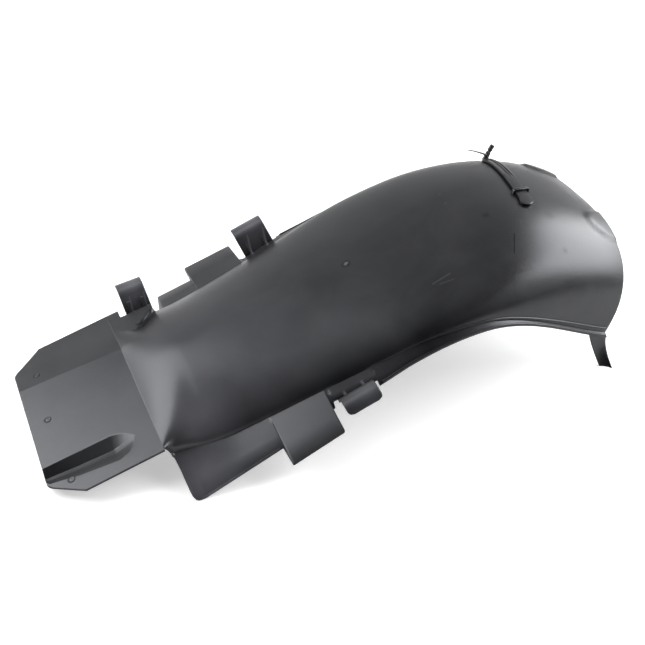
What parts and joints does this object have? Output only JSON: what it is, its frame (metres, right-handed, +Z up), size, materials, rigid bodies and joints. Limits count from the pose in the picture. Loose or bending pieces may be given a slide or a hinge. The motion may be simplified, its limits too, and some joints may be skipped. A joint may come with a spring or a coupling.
{
  "type": "rear hugger mudguard",
  "caption": "Moulded rear hugger mudguard with a channelled front plate, a domed wheel arch, beaded side flanges, rail clips and splayed rear feet",
  "frame": {"origin": "centre of the bounding box in X and Y, at the bottom of the bounding box in Z", "axes": "+X runs rearwards along the part, +Z is up, and +Y points to the side that has the front clip; the part stands on its front plate, its flap and its two rear feet as in the picture"},
  "size_m": [0.6438, 0.3408, 0.1627],
  "materials": {
    "shell_plastic": "black moulded plastic with a soft satin sheen",
    "strap_rubber": "black rubber, slightly glossy on top"
  },
  "bodies": {
    "root": {"mudguard_shell": "shell_plastic", "cable_strap": "strap_rubber"}
  },
  "joints": []
}
